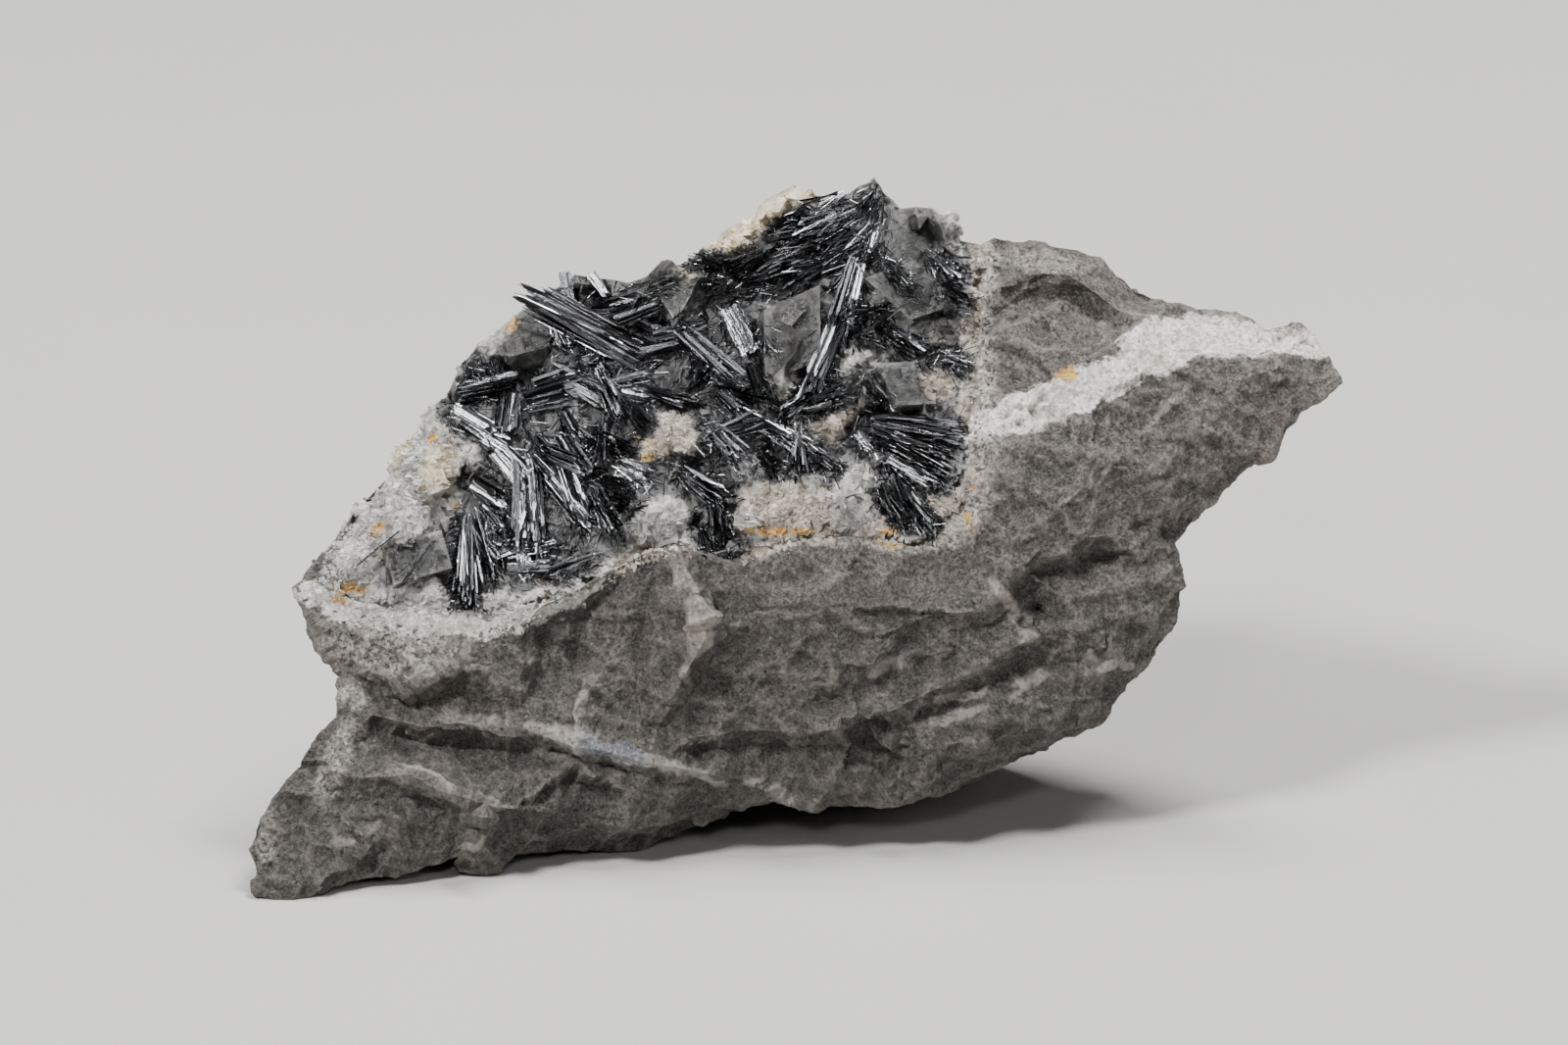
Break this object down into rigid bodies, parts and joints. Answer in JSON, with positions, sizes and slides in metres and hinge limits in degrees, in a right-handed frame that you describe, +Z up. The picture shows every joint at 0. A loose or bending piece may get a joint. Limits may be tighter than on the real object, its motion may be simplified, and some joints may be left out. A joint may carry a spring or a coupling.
{
  "type": "rouxelite specimen",
  "caption": "Broken grey dolostone block with a pale carbonate-lined pocket packed with black metallic rouxelite laths.",
  "frame": {"origin": "bottom centre of the specimen's bounding box, on the surface it rests on", "axes": "+X along its length to the pointed right end, -Y out of the face with the crystal pocket, +Z up"},
  "size_m": [0.0776, 0.0361, 0.0419],
  "materials": {
    "dolostone": "broken, fine-grained, matt",
    "carbonate": "crystalline, part glassy, part sugary",
    "rouxelite": "metallic, striated"
  },
  "bodies": {
    "root": {"dolostone_matrix": "dolostone", "carbonate_crust": "carbonate", "rouxelite_top_spray": "rouxelite", "rouxelite_upper_left_spray": "rouxelite", "rouxelite_centre_spray": "rouxelite", "rouxelite_silver_sheaf": "rouxelite", "rouxelite_tall_sheaf": "rouxelite", "rouxelite_left_rim_spray": "rouxelite", "rouxelite_broad_sheaf": "rouxelite", "rouxelite_left_fan": "rouxelite", "rouxelite_crossed_sheaf": "rouxelite", "rouxelite_right_fan": "rouxelite", "rouxelite_lower_right_spray": "rouxelite", "rouxelite_bottom_spray": "rouxelite", "rouxelite_thin_spray": "rouxelite", "rouxelite_middle_spray": "rouxelite", "rouxelite_right_top_spray": "rouxelite"}
  },
  "joints": []
}
